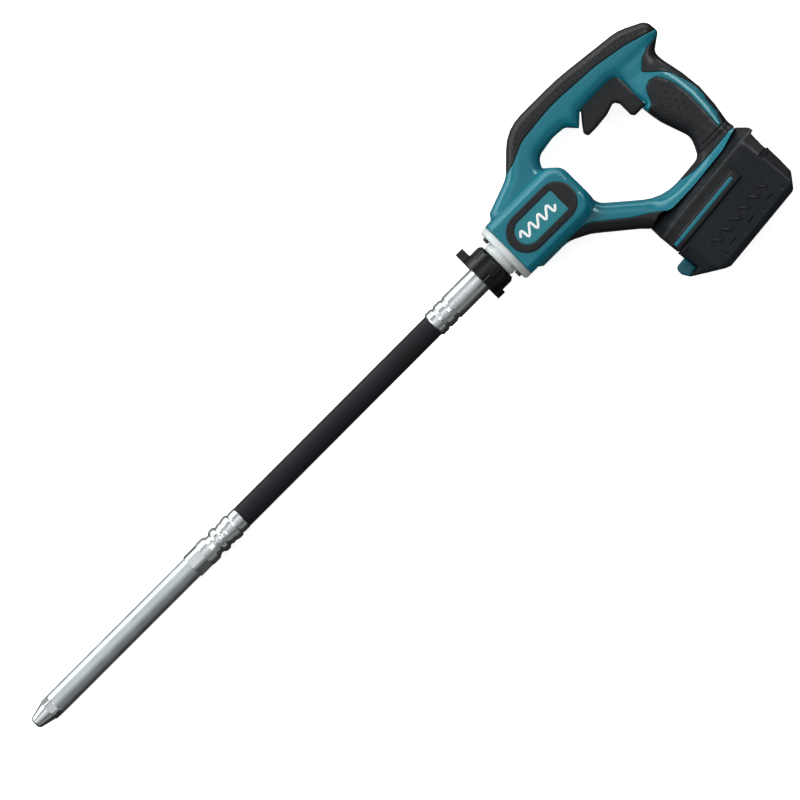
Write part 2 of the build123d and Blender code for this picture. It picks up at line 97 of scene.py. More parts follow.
# ---- the flexible shaft's rubber hose ----
HOSE_ROUTE = [(-0.17745, 0.04135, 0.0143), (-0.09775, 0.04135, 0.0143),
              (0.02225, 0.04135, MOTOR_HEIGHT), (0.10225, 0.04135, MOTOR_HEIGHT)]
HOSE_DIAMETER = 0.0248
curve = bpy.data.curves.new("hose_cover", "CURVE")
curve.dimensions = "3D"
spline = curve.splines.new("NURBS")
spline.points.add(len(HOSE_ROUTE) - 1)
for point, place in zip(spline.points, HOSE_ROUTE):
    point.co = (*place, 1)
    point.radius = HOSE_DIAMETER / 2
spline.order_u = 3
spline.use_endpoint_u = True
curve.resolution_u = 32
curve.bevel_depth = 1.0  # times each point's radius
curve.bevel_resolution = 12
curve.use_fill_caps = True
hose = bpy.data.objects.new("hose_cover", curve)
bpy.context.scene.collection.objects.link(hose)
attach(hose, "root")
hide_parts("hose")
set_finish(hose, "hose_rubber")

# ---- outlines of the side view: corners (x, y, fillet radius), as in the CAD source ----
BODY = [
    (691, 34, 0), (700, 34.5, 3), (705, 41, 4), (742, 54.5, 30), (778, 90, 50), (850, 90, 260),
    (930, 81, 50), (958.3, 67, 12), (960, 51, 5), (941.5, 38, 9), (942.3, 26, 60), (951.8, -20, 130),
    (944.3, -66, 18), (946, -75, 4), (934, -78, 8), (919, -82.4, 30), (872, -87.4, 80),
    (838, -88.5, 20), (828, -82, 8), (811, -88, 3), (803, -80, 14), (764, -48, 50), (742, -37, 30),
    (706, -37, 2), (702, -33.6, 1.5), (691, -33.6, 0),
]
FREE_EDGE = BODY[:13] + [(946, -75, 0), (946, -150, 0), (820, -150, 0), (811, -88, 3)] + BODY[20:24] + [
    (702, -33.6, 1.5), (600, -33.6, 0), (600, 34, 0)]
HAND_OPENING = [
    (843.6, 48.8, 0.8), (896.5, 48.8, 9), (896.5, 6, 1), (892.6, 6, 1), (894, -5, 40),
    (896, -17, 50), (907.5, -50, 17), (898, -70.5, 11), (868, -73, 20), (842, -74.5, 55),
    (790.5, -30.6, 16), (790, 21, 12), (775, 35, 4), (781.5, 46, 14), (806, 50, 40),
    (822, 48.6, 8), (831.8, 37.6, 1.2),
]
FRONT_GUARD = [
    (741, 56, 0), (757, 59.5, 12), (779, 69.5, 30), (826, 74.5, 150), (888, 71, 80),
    (925, 64.5, 40), (970, 51, 0), (970, 130, 0), (741, 130, 0),
]
THUMB_REST = [
    (975, 48.8, 0), (939.4, 47, 8), (928, 42.5, 10), (917.5, 33, 1), (925, 25.5, 14),
    (938, 14, 30), (947.2, -16, 40), (946.6, -30, 2), (944.2, -33, 2), (943.8, -50, 6),
    (937.5, -62, 2), (937.5, -73.5, 0), (975, -73.5, 0),
]
STRUT_GUARD = [
    (741, -36, 0), (759, -36, 20), (770, -38.5, 20), (806, -67, 60), (822, -76.5, 20),
    (834, -85.5, 0), (834, -110, 0), (741, -110, 0),
]
GRIP_PAD = [
    (917, 21.5, 3), (925.5, 18.5, 5), (933, 3, 25), (936, -18, 60), (935, -45, 60), (934, -61, 3),
    (937.5, -64, 2), (937.5, -73.5, 2), (908, -76.3, 30), (884, -77, 10), (869, -74.5, 0.8),
    (869, -60, 0.4), (898, -50, 4), (890, -17, 10), (888, -4, 6), (902, 3, 8), (908, 17, 8),
]
TRIGGER = [
    (852, 58, 3), (890, 58, 10), (899, 55, 2), (899, 24, 3), (904.5, 14, 5), (904.5, 4.5, 4),
    (893.5, 6.1, 3), (882, 6.1, 3), (879.5, 10, 3), (879.5, 26, 5), (875.5, 31.5, 4),
    (862, 27, 20), (845, 25.3, 20), (833, 25.3, 3), (831.6, 31, 3), (838, 39.5, 8), (845.5, 48.5, 8),
]
TRIGGER_SLOT = [
    (826, 34, 0), (826, 56, 3), (840, 68, 4), (905, 68, 4), (909, 40, 3), (911, 1.5, 4),
    (892, 1.5, 0), (884, 20, 0), (860, 34, 0),
]
BADGE_RING = [
    (781.7, -21.1, 21.05), (781.7, 21.1, 21.05), (695.3, 21.1, 21.05), (695.3, -21.1, 21.05),
]
BADGE_PLATE = [(764.3, -13.8, 2), (764.3, 13.8, 2), (704.6, 13.8, 13.7), (704.6, -13.8, 13.7)]
PACK = [
    (0, -24, 1), (-1.2, -40, 10), (-3.2, -56, 3), (-17, -70.6, 6), (-118, -70.6, 7),
    (-151.5, -45.6, 0.5), (-139.5, -45.6, 0.5), (-139.2, -24, 1),
]
PACK_PANEL = [(-12.7, -24.1, 0.5), (-13.2, -63, 3), (-127, -63, 9), (-127, -24.1, 0.5)]
BUTTON = [
    (-139.8, -45.3, 0.3), (-151.2, -45.3, 1), (-154.6, -38, 4), (-153.6, -29, 5), (-139.8, -29, 0.5),
]
SHOE = [
    (-3.5, 16.2, 1.5), (4.4, 6, 1.5), (4.6, 0.6, 0.5), (0.6, 0, 0.5), (-2, -21, 2), (-138.4, -21, 2),
    (-138.5, 19, 2.5), (-122, 22, 3), (-104, 14, 3), (-20, 15, 5),
]
RIM = [(-40, -9.6, 2), (-40, -18.6, 2), (-142, -18.6, 0), (-142, -9.6, 0)]
STRIPE = [(-47, -11.3, 1.8), (-47, -15.1, 1.8), (-137.6, -15.1, 0.6), (-137.6, -11.3, 0.6)]
FLAP = [(-12.7, -1.8, 0.8), (-12.7, -24.05, 0.3), (-40.5, -24.05, 0.3), (-40.5, -1.8, 1.5)]
SCREWS = [(735, 45), (800, 61), (929, 2)]
SCREW_HOLE_R = 3.7


# ---- outlines as points ----
def rounded(corners, step=2.4):
    """Points along a closed outline whose corners (x, y, radius) are rounded."""
    path = []
    for before, here, after in zip(corners[-1:] + corners[:-1], corners, corners[1:] + corners[:1]):
        a, b, c = complex(*before[:2]), complex(*here[:2]), complex(*after[:2])
        into, out = (b - a) / abs(b - a), (c - b) / abs(c - b)
        turn, r = phase(out / into), here[2]
        if r == 0 or abs(turn) < 0.01:
            path.append(b)
            continue
        start = b - into * r * tan(abs(turn) / 2)
        centre = start + into * 1j * copysign(r, turn)
        count = max(2, ceil(abs(turn) / radians(12)))
        path += [centre + (start - centre) * rect(1, turn * k / count) for k in range(count + 1)]
    filled = []
    for a, b in zip(path, path[1:] + path[:1]):
        count = ceil(abs(b - a) / step - 1e-6)
        filled += [a + (b - a) * k / count for k in range(count)]
    filled = [p for p, q in zip(filled, filled[-1:] + filled[:-1]) if abs(p - q) > 0.02]
    return np.array([(p.real, p.imag) for p in filled])


def circle(x, y, r, count=16):
    """A round outline."""
    turns = [2 * pi * k / count for k in range(count)]
    return np.array([(x + r * cos(turn), y + r * sin(turn)) for turn in turns])


def ripple(x, y, length, rise, stroke, turns, slant):
    """The outline of a plain ripple about a point, drawn with a stroke of even width."""
    share = np.linspace(0, 1, 16 * turns + 1)
    up = rise * np.sin(2 * pi * turns * share)
    line = np.column_stack((x + length * (share - 0.5) + slant * up, y + up))
    along = np.gradient(line, axis=0)
    normal = np.column_stack((along[:, 1], -along[:, 0])) / np.hypot(*along.T)[:, None]
    return np.concatenate((line + stroke / 2 * normal, (line - stroke / 2 * normal)[::-1]))


def gap(points, loop, closed=True):
    """The distance from each point to an outline."""
    a = loop if closed else loop[:-1]
    along = (np.roll(loop, -1, axis=0) if closed else loop[1:]) - a
    size = np.maximum((along ** 2).sum(axis=1), 1e-12)
    parts = []
    for some in np.array_split(points, 1 + len(points) // 400):
        reach = some[:, None] - a
        share = np.clip((reach * along).sum(axis=2) / size, 0, 1)
        parts.append(np.sqrt(((reach - share[..., None] * along) ** 2).sum(axis=2)).min(axis=1))
    return np.concatenate(parts)


def nearest(points, others):
    """The distance from each point to the nearest of some others."""
    return np.hypot(*(points[:, None] - others).transpose(2, 0, 1)).min(axis=1)


def inside(points, loop):
    """Which points an outline goes round."""
    x, y = points[:, :1], points[:, 1:]
    (x1, y1), (x2, y2) = loop.T, np.roll(loop, -1, axis=0).T
    rise = np.where(y1 == y2, 1, y2 - y1)
    crossed = ((y1 > y) != (y2 > y)) & (x < x1 + (x2 - x1) * (y - y1) / rise)
    return crossed.sum(axis=1) % 2 == 1


def dent_gap(points, dent):
    """The distance from each point to the middle line of a dent (x1, y1, x2, y2, radius, depth)."""
    return gap(points, np.array([dent[:2], dent[2:4]]), closed=False)


def dented(points, height, dents):
    """The height with round or long dents pressed into it."""
    for dent in dents:
        share = np.clip(dent_gap(points, dent) / dent[4], 0, 1)
        height = height - dent[5] * (1 + np.cos(pi * share)) / 2
    return height


def dent_points(dent):
    """Points that give the mesh the shape of a dent."""
    start, end, r = np.array(dent[:2]), np.array(dent[2:4]), dent[4]
    count = 1 + ceil(np.hypot(*(end - start)) / r)
    middles = [start + (end - start) * k / max(1, count - 1) for k in range(count)]
    rings = [circle(*middle, r * share, 8) for middle in middles for share in (0.5, 1.0)]
    return np.concatenate([np.array(middles)] + rings)


class Web:
    """Triangles over a flat outline, which follow further outlines drawn on it.

    The rows are the distances at which points run along each outline, on both sides of it. The
    rest is filled at the pitch, and the extra points are kept as they are.
    """

    def __init__(self, loops, rows, pitch=3.0, dents=(), extra=()):
        self.loops = loops
        names = list(loops)
        cloud = []
        for name in names:
            loop = loops[name]
            along = np.roll(loop, -1, axis=0) - np.roll(loop, 1, axis=0)
            normal = np.column_stack((along[:, 1], -along[:, 0])) / np.hypot(*along.T)[:, None]
            for d in rows[name]:
                for beside in (loop + d * normal, loop - d * normal):
                    cloud.append(beside[gap(beside, loop) > 0.97 * d])
        cloud = np.concatenate(cloud)
        low, high = loops[names[0]].min(axis=0), loops[names[0]].max(axis=0)
        lines = [(low[0] + pitch * (i + 0.5 * (j % 2)), low[1] + 0.866 * pitch * j)
                 for j in range(ceil((high[1] - low[1]) / pitch / 0.866))
                 for i in range(ceil((high[0] - low[0]) / pitch))]
        grid = np.array(lines)
        for name in names:
            last = max(rows[name], default=0)
            away = gap(grid, loops[name])
            grid = grid[away > last + 0.45 * pitch]
            cloud = cloud[gap(cloud, loops[name]) > 0.22]
        extra = np.array(extra).reshape(-1, 2)
        for some in (extra[k::40] for k in range(40)):
            if len(some):
                grid = grid[nearest(grid, some) > 0.5 * pitch]
                cloud = cloud[nearest(cloud, some) > 0.35]
        cloud = np.concatenate([cloud, grid, extra])
        for dent in dents:
            cloud = cloud[dent_gap(cloud, dent) > dent[4] * 1.5]
        cloud = np.concatenate([cloud] + [dent_points(dent) for dent in dents])
        points, edges = [], []
        for name in names:
            first = len(points)
            count = len(loops[name])
            points += [Vector(p) for p in loops[name]]
            edges += [(first + k, first + (k + 1) % count) for k in range(count)]
        points += [Vector(p) for p in cloud]
        made = geometry.delaunay_2d_cdt(points, edges, [], 0, 0.03)
        self.points = np.array([tuple(p) for p in made[0]])
        self.triangles = np.array([f for f in made[2] if len(f) == 3])
        corner = self.points[self.triangles]
        self.centres = corner.mean(axis=1)
        u, v = corner[:, 1] - corner[:, 0], corner[:, 2] - corner[:, 0]
        area = u[:, 0] * v[:, 1] - u[:, 1] * v[:, 0]
        self.triangles[area < 0] = self.triangles[area < 0][:, ::-1]
        self.real = abs(area) > 1e-4
        self.within = {name: inside(self.centres, loops[name]) for name in names}

    def region(self, mask):
        """The triangles of a part of the web, its own points, and the edges round it."""
        triangles = self.triangles[mask & self.real]
        used, flat = np.unique(triangles, return_inverse=True)
        triangles = flat.reshape(-1, 3)
        edges = {(a, b) for t in triangles for a, b in zip(t, np.roll(t, -1))}
        border = sorted((a, b) for a, b in edges if (b, a) not in edges)
        return self.points[used], triangles, border


def outward(points, border):
    """The direction away from a region at each point of its border."""
    away = np.zeros_like(points)
    for a, b in border:
        along = points[b] - points[a]
        normal = np.array((along[1], -along[0])) / max(np.hypot(*along), 1e-9)
        away[a] += normal
        away[b] += normal
    return away / np.maximum(np.hypot(*away.T), 1e-9)[:, None]


def smooth(x, low, high):
    """A soft step from 0 at low to 1 at high."""
    t = np.clip((x - low) / (high - low), 0, 1)
    return t * t * (3 - 2 * t)


def fall(d, width, drop):
    """How far a rounded edge lies below its crest at a distance d from the outline."""
    t = np.clip(1 - d / width, 0, 1)
    return drop * (1 - np.sqrt(1 - t * t))


def slope(x, start, steepness, soft):
    """A fall that starts below x = start, with a soft corner."""
    return steepness * soft * np.logaddexp(0, (start - x) / soft)


def softmax(a, b, soft):
    """The higher of two heights, with a fillet where they meet."""
    return soft * np.logaddexp(a / soft, b / soft)


# ---- pieces ----
SHARP_ANGLE = radians(32)
LIP_WIDTH = 1.1
SKIN_WALL = 1.8
SLOT_HALF_WIDTH = 9.8
SEAM_LEVELS = ((1.1, 0.0), (0.12, 0.45))  # height over the parting line, and how far in


def shade(mesh):
    """Smooth shading that stops at sharp edges."""
    for polygon in mesh.polygons:
        polygon.use_smooth = True
    mesh.set_sharp_from_angle(angle=SHARP_ANGLE)


def to_object(name, verts, faces, matrix, body, slot_name, replaced):
    """A mesh in the part's frame, riding its body."""
    if matrix.determinant() < 0:
        faces = [face[::-1] for face in faces]
    mesh = bpy.data.meshes.new(name)
    mesh.from_pydata([matrix @ Vector(v) for v in verts], [], faces)
    mesh.validate()
    shade(mesh)
    made = bpy.data.objects.new(name, mesh)
    bpy.context.scene.collection.objects.link(made)
    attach(made, body)
    if replaced:
        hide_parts(*replaced)
    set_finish(made, slot_name)
    return made


def skin(name, web, mask, height, side, slot_name, replaced, lift=0.0, lip=0.5):
    """One half of the moulded housing or of a cover on it.

    It has a face, and a wall down to the parting line where it ends at the housing's outline or
    the hand opening. Its other edges are rounded down by the lip. Along the trigger's slot the
    wall stops short of the parting line.
    """
    points, triangles, border = web.region(mask)
    z = height(points)
    on_edge = np.zeros(len(points), bool)
    for loop in (body_loop, opening_loop):
        on_edge |= gap(points, loop) < 0.02
    seam = [(a, b) for a, b in border if not (on_edge[a] and on_edge[b])]
    if seam:
        ends = points[[i for pair in seam for i in pair]].reshape(-1, 2, 2)
        near = np.full(len(points), 1e9)
        for start, end in ends:
            along = end - start
            share = np.clip((points - start) @ along / max(along @ along, 1e-9), 0, 1)
            near = np.minimum(near, np.hypot(*(points - start - share[:, None] * along).T))
        z = z + lift - lip * np.clip(1 - near / LIP_WIDTH, 0, 1) ** 2
    verts = [(x, y, side * h) for (x, y), h in zip(points, z)]
    faces = [tuple(t) if side > 0 else tuple(t[::-1]) for t in triangles.tolist()]
    away = outward(points, border)
    made = {}

    def low(i, level, cut):
        key = (i, level, cut)
        if key not in made:
            depth, inset = (SLOT_HALF_WIDTH, 0.0) if cut else SEAM_LEVELS[level]
            made[key] = len(verts)
            x, y = points[i] - inset * away[i]
            verts.append((x, y, side * min(depth, z[i] - 0.05)))
        return made[key]

    for a, b in border:
        if not (on_edge[a] and on_edge[b]):
            continue
        middle = (points[a] + points[b])[None] / 2
        cut = bool(inside(middle, slot_loop)[0])
        before = (a, b)
        for level in range(1 if cut else len(SEAM_LEVELS)):
            after = (low(a, level, cut), low(b, level, cut))
            quad = (before[0], after[0], after[1], before[1])
            faces.append(quad if side > 0 else quad[::-1])
            before = after
    piece = to_object(name, verts, faces, TOOL, "root", slot_name, replaced)
    wall = piece.modifiers.new("solidify", "SOLIDIFY")
    wall.thickness = SKIN_WALL * MM
    wall.offset = -1


def block(name, web, mask, height, slot_name, replaced, levels, body="root", matrix=TOOL, base=None):
    """A closed piece, alike on both sides, or with a flat back at z = base.

    Its walls bend at the levels, which are heights between its two faces.
    """
    points, triangles, border = web.region(mask)
    z = height(points)
    verts = [(x, y, h) for (x, y), h in zip(points, z)]
    faces = [tuple(t) for t in triangles.tolist()]
    count = len(points)
    back = -z if base is None else np.full(count, float(base))
    verts += [(x, y, h) for (x, y), h in zip(points, back)]
    faces += [tuple(count + i for i in t[::-1]) for t in triangles.tolist()]
    made = {}

    def at(i, level):
        if level < 0:
            return i
        if level >= len(levels):
            return count + i
        if (i, level) not in made:
            made[i, level] = len(verts)
            verts.append((*points[i], min(max(levels[level], back[i]), z[i])))
        return made[i, level]

    for a, b in border:
        for level in range(len(levels) + 1):
            faces.append((at(a, level - 1), at(a, level), at(b, level), at(b, level - 1)))
    return to_object(name, verts, faces, matrix, body, slot_name, replaced)


def cut_box(piece, matrix, low, high):
    """Take a box out of a closed piece."""
    across, up, out = zip(low, high)
    corners = [(x, y, z) for x in across for y in up for z in out]
    sides = [(0, 1, 3, 2), (4, 6, 7, 5), (0, 4, 5, 1), (2, 3, 7, 6), (0, 2, 6, 4), (1, 5, 7, 3)]
    mesh = bpy.data.meshes.new("cutter")
    mesh.from_pydata([matrix @ Vector(corner) for corner in corners], [], sides)
    cutter = bpy.data.objects.new("cutter", mesh)
    bpy.context.scene.collection.objects.link(cutter)
    cut = piece.modifiers.new("pocket", "BOOLEAN")
    cut.operation = "DIFFERENCE"
    cut.solver = "EXACT"
    cut.object = cutter
    bpy.context.view_layer.update()
    whole = piece.evaluated_get(bpy.context.evaluated_depsgraph_get())
    shaped = bpy.data.meshes.new_from_object(whole)
    piece.modifiers.remove(cut)
    bpy.data.objects.remove(cutter)
    piece.data = shaped
    shade(shaped)


# ---- the housing's surface ----
body_loop = rounded(BODY)
opening_loop = rounded(HAND_OPENING)
free_loop = rounded(FREE_EDGE, 4)
slot_loop = rounded(TRIGGER_SLOT)
ROLL_ROWS = [0.45, 1.75, 3.8, 6.5, 9.6, 13]
SEAM_ROWS = [0.5, 1.1]
EDGE_WIDTH = 13.0
EDGE_DROP = 12.5
BAR_CREST = 17.0
GRIP_SWELL = 2.0
FOOT_FLARE = 8.0
CREASE_DEPTH = 1.2
CREASE_WIDTH = 4.0
pad_loop = rounded(GRIP_PAD)
guard_loop = rounded(FRONT_GUARD)


def pad_dents():
    """Staggered dimples all over the grip pad, clear of its edges and its screw."""
    dents = []
    for row, y in enumerate(range(-56, 14, 7)):
        for column in (904, 912, 920, 928):
            x = column + 4 * (row % 2) - 0.13 * y
            spot = np.array([(x, y)])
            clear = inside(spot, pad_loop)[0] and gap(spot, pad_loop)[0] > 4
            clear = clear and gap(spot, opening_loop)[0] > 5
            if clear and np.hypot(x - SCREWS[2][0], y - SCREWS[2][1]) > 7:
                dents.append((x, y, x, y, 1.5, 1.1))
    return dents


def guard_dents():
    """Staggered rows of small dents that follow the front guard's seam."""
    seam = guard_loop[(guard_loop[:, 0] > 750) & (guard_loop[:, 0] < 948) & (guard_loop[:, 1] < 76)]
    seam = seam[np.argsort(seam[:, 0])]
    along = np.concatenate(([0], np.cumsum(np.hypot(*np.diff(seam, axis=0).T))))

    def spot(reach):
        return np.array([np.interp(reach, along, seam[:, k]) for k in (0, 1)])

    dents = []
    for row, (away, radius, depth) in enumerate(((3.6, 1.2, 1.0), (7.4, 0.9, 0.7), (11.0, 0.9, 0.7))):
        for reach in np.arange(6 + 3 * (row % 2), along[-1] - 4, 6.2):
            here, there = spot(reach), spot(reach + 1)
            ahead = (there - here) / np.hypot(*(there - here))
            x, y = here + away * np.array((-ahead[1], ahead[0]))
            dents.append((x, y, x, y, radius, depth))
    return dents


PAD_DENTS = pad_dents()
GUARD_DENTS = guard_dents()
COLLAR_GROOVES = [(948, -63.6, 905, -63.6, 0.9, 0.8), (948, -68.6, 900, -68.6, 0.9, 0.8)]
SADDLE_LINE = np.array([(843, 51.5), (880, 51.5), (905, 50.8), (930, 50), (946, 51.5), (957, 56)])


def bars_height(points):
    """The bars and the grip, from the middle plane."""
    x, y = points.T
    edge = np.minimum(gap(points, free_loop), gap(points, opening_loop))
    depth = BAR_CREST + GRIP_SWELL * smooth(x, 884, 900) * smooth(y, 36, 16)
    depth = depth + FOOT_FLARE * smooth(y, -69, -90) * smooth(x, 812, 836)
    behind = smooth(y, 53, 47) * smooth(x, 843, 855) * smooth(y, 20, 34)
    crease = np.exp(-(gap(points, SADDLE_LINE, closed=False) / CREASE_WIDTH) ** 2)
    depth = depth - CREASE_DEPTH * behind - CREASE_DEPTH * crease * smooth(x, 845, 865)
    return depth - fall(edge, EDGE_WIDTH, EDGE_DROP)


BARREL_START = 690.8
BARREL_END = 792.0
BARREL_HALF_WIDTH = 34.0
BARREL_CORNER = 22.0
BARREL_CREST = 38.4
CORNER_X = BARREL_END - BARREL_CORNER
CORNER_Y = BARREL_HALF_WIDTH - BARREL_CORNER


def barrel_height(points):
    """The motor barrel: a flat crown, a sloping flank and a steep side."""
    x, y = points.T
    qx, qy = x - CORNER_X, abs(y) - CORNER_Y
    round_corner = np.hypot(np.maximum(qx, 0), np.maximum(qy, 0))
    d = BARREL_CORNER - round_corner - np.minimum(np.maximum(qx, qy), 0)
    z = BARREL_CREST - slope(d, 7.7, 1.15, 0.5) - slope(d, 0.8, 9.0, 0.4)
    return z - fall(x - BARREL_START, 5, 4)


def housing_height(points):
    """The whole housing: the barrel blended into the bars, with the collar's grooves."""
    return dented(points, softmax(bars_height(points), barrel_height(points), 1.0), COLLAR_GROOVES)


loops = {"body": body_loop, "opening": opening_loop, "guard": guard_loop, "thumb": rounded(THUMB_REST),
         "strut": rounded(STRUT_GUARD), "pad": pad_loop, "ring": rounded(BADGE_RING)}
rows = {"body": ROLL_ROWS, "opening": ROLL_ROWS, "guard": SEAM_ROWS, "thumb": SEAM_ROWS,
        "strut": SEAM_ROWS, "pad": SEAM_ROWS, "ring": []}
for number, (x, y) in enumerate(SCREWS):
    loops[f"screw{number}"] = circle(x, y, SCREW_HOLE_R)
    rows[f"screw{number}"] = [0.5]
RIDGE_ROWS = (-1.4, -0.8, -0.2, 0.3, 0.8, 1.4, 2.2, 6.0, 6.8, 7.3, 7.7, 8.1, 8.7)
ridges = [(x, side * (BARREL_HALF_WIDTH - d)) for side in (1, -1) for d in RIDGE_ROWS
          for x in range(693, 770, 2)]
ridges += [(CORNER_X + (BARREL_CORNER - d) * cos(turn), side * (CORNER_Y + (BARREL_CORNER - d) * sin(turn)))
           for side in (1, -1) for d in RIDGE_ROWS for turn in np.linspace(0, pi / 2, 16)]
grooves = [(x, y + s) for x1, y, x2, _, _, _ in COLLAR_GROOVES for x in range(x2, x1, 2)
           for s in (-0.9, -0.45, 0, 0.45, 0.9)]
extra = np.array(ridges + grooves)
extra = extra[inside(extra, body_loop) & ~inside(extra, opening_loop)]
for loop in loops.values():
    extra = extra[gap(extra, loop) > 0.3]
web = Web(loops, rows, 3.2, PAD_DENTS + GUARD_DENTS, extra)
within = web.within
solid = within["body"] & ~within["opening"]
GUARDS = {"front_guard": "guard", "thumb_rest": "thumb", "strut_guard": "strut"}
covered = within["guard"] | within["thumb"] | within["strut"]
pad = solid & within["pad"] & ~covered
for side, hand in ((1, "left"), (-1, "right")):
    drilled = np.zeros(len(solid), bool)
    if side < 0:
        for number in range(len(SCREWS)):
            drilled |= within[f"screw{number}"]
    skin(f"housing_shell_{hand}", web, solid & ~covered & ~pad & ~drilled, housing_height, side,
         "teal_housing", [f"housing_{hand}"])
    for name, loop_name in GUARDS.items():
        dents = GUARD_DENTS if name == "front_guard" else []
        skin(f"{name}_cover_{hand}", web, solid & within[loop_name] & ~drilled,
             lambda p, dents=dents: dented(p, housing_height(p), dents), side, "black_overmould",
             [f"{name}_{hand}"], lift=0.5)
    skin(f"grip_pad_cover_{hand}", web, pad & ~drilled,
         lambda p: dented(p, housing_height(p), PAD_DENTS), side, "black_overmould",
         [f"grip_pad_{hand}"], lift=0.9, lip=0.9)

# ---- badge ----
RING_CREST = 40.0
PLATE_CREST = 39.2
BADGE_WAVE_CREST = 39.5
BADGE_BASE = 37.6
RING_DENTS = [(x, y, x, y, 1.3, 0.8) for x, y in [
    (699.3, 0), (776.5, 0), (712, 17.4), (712, -17.4), (738.5, 17.6), (738.5, -17.6),
    (762, 17.5), (762, -17.5), (771.5, 10), (771.5, -10)]]
ring_loop, plate_loop = rounded(BADGE_RING, 1.6), rounded(BADGE_PLATE, 1.6)
badge = Web({"ring": ring_loop, "plate": plate_loop}, {"ring": [0.3, 0.8, 1.4], "plate": [0.3, 0.8]},
            2.4, RING_DENTS)


def ring_height(p):
    """The badge's frame, rounded at its outer and inner edges."""
    z = RING_CREST - fall(gap(p, ring_loop), 1.4, 1.2) - fall(gap(p, plate_loop), 0.8, 0.6)
    return dented(p, z, RING_DENTS)


for hand, matrix in TOOL_SIDES:
    block(f"badge_frame_{hand}", badge, badge.within["ring"] & ~badge.within["plate"], ring_height,
          "black_overmould", [f"badge_ring_{hand}"], (38.6,), matrix=matrix, base=BADGE_BASE)
    block(f"badge_inlay_{hand}", badge, badge.within["plate"],
          lambda p: PLATE_CREST - fall(gap(p, plate_loop), 0.8, 0.3), "badge_teal",
          [f"badge_plate_{hand}"], (38.7,), matrix=matrix, base=BADGE_BASE)
badge_ripple = ripple(733, 0, length=49, rise=4.8, stroke=2.6, turns=4, slant=0.35)
wave = Web({"wave": badge_ripple}, {"wave": [0.4]}, 1.6)
for hand, matrix in TOOL_SIDES:
    block(f"badge_wave_{hand}", wave, wave.within["wave"],
          lambda p: BADGE_WAVE_CREST - fall(gap(p, badge_ripple), 0.4, 0.15), "badge_teal", [],
          (39.0,), matrix=matrix, base=38.8)

# ---- trigger ----
TRIGGER_HALF_WIDTH = 9.0
trigger_loop = rounded(TRIGGER, 2)
trigger_web = Web({"trigger": trigger_loop}, {"trigger": [0.3, 1.0, 2.2, 3.6]}, 2.6)
block("trigger_lever", trigger_web, trigger_web.within["trigger"],
      lambda p: TRIGGER_HALF_WIDTH - fall(gap(p, trigger_loop), 3.6, 3.2), "black_plastic",
      ["trigger"], (2.8, -2.8), body="trigger")

# ---- battery shoe ----
SHOE_HALF_WIDTH = 37.8
SHOE_LEAST = 8.0
RIM_RISE = 0.9
STRIPE_RISE = 0.5
shoe_loop, rim_loop, stripe_loop = rounded(SHOE), rounded(RIM), rounded(STRIPE)
SHOE_RIDGES = [(x, y) for x in range(-136, 2, 4) for y in (0.8, 1.6, 2.3, 3.0, 3.7, 4.6, 10)]


def shoe_height(p):
    """The shoe: it narrows towards the housing and at both ends, and stands higher round the stripe."""
    x, y = p.T
    z = SHOE_HALF_WIDTH - slope(-y, -2.6, 1.9, 0.7) - slope(-x, 12.5, 0.6, 0.3)
    past_rim = gap(p, rim_loop) * np.where(inside(p, rim_loop), -1, 1)
    off_rim = 1 - smooth(-past_rim, -0.8, 0.0)
    z = z - slope(x, -127.0, 0.55, 0.3) - RIM_RISE * off_rim * smooth(-y, -3, 3)
    return np.maximum(z, SHOE_LEAST)


shoe_web = Web({"shoe": shoe_loop, "rim": rim_loop}, {"shoe": [0.5, 1.2], "rim": [0.4, 0.9]}, 3.0,
               extra=[p for p in SHOE_RIDGES if inside(np.array([p]), shoe_loop)[0]])
block("battery_shoe_cover", shoe_web, shoe_web.within["shoe"],
      lambda p: shoe_height(p) - fall(gap(p, shoe_loop), 1.2, 0.9), "black_plastic",
      ["battery_shoe"], (31.0, 0.0, -31.0), matrix=PACK_FRAME)
stripe_web = Web({"stripe": stripe_loop}, {"stripe": [0.3, 0.8]}, 2.0)
for hand, matrix in PACK_SIDES:
    block(f"shoe_stripe_{hand}", stripe_web, stripe_web.within["stripe"],
          lambda p: shoe_height(p) + STRIPE_RISE - fall(gap(p, stripe_loop), 0.8, 0.4),
          "teal_housing", [], (30.5,), matrix=matrix, base=30.0)

# ---- battery ----
PACK_PANEL_HEIGHT = 39.6
EMBLEM_CREST = 39.95
pack_loop, panel_loop, flap_loop = rounded(PACK), rounded(PACK_PANEL), rounded(FLAP)
PACK_DENTS = [(x, -60.3, x, -60.3, 1.5, 0.8) for x in (-21.6, -51, -81, -111)]
PACK_DENTS += [(x, -55.6, x - 8, -55.6, 0.8, 1.2) for x in (-33.5, -63, -92)]


def pack_height(p):
    """The battery: a flat panel, with slopes beyond it and a rounded edge that fades out by the flap."""
    beyond = np.where(inside(p, panel_loop), 0, gap(p, panel_loop)) * (p[:, 1] < -24.2)
    z = PACK_PANEL_HEIGHT - slope(-beyond, -1.6, 0.75, 0.6)
    kept = smooth(p[:, 1], -29, -25) * smooth(p[:, 0], -44, -41) * smooth(-p[:, 0], 11, 12)
    return dented(p, z, PACK_DENTS) - fall(gap(p, pack_loop), 1.5, 1.0) * (1 - kept)


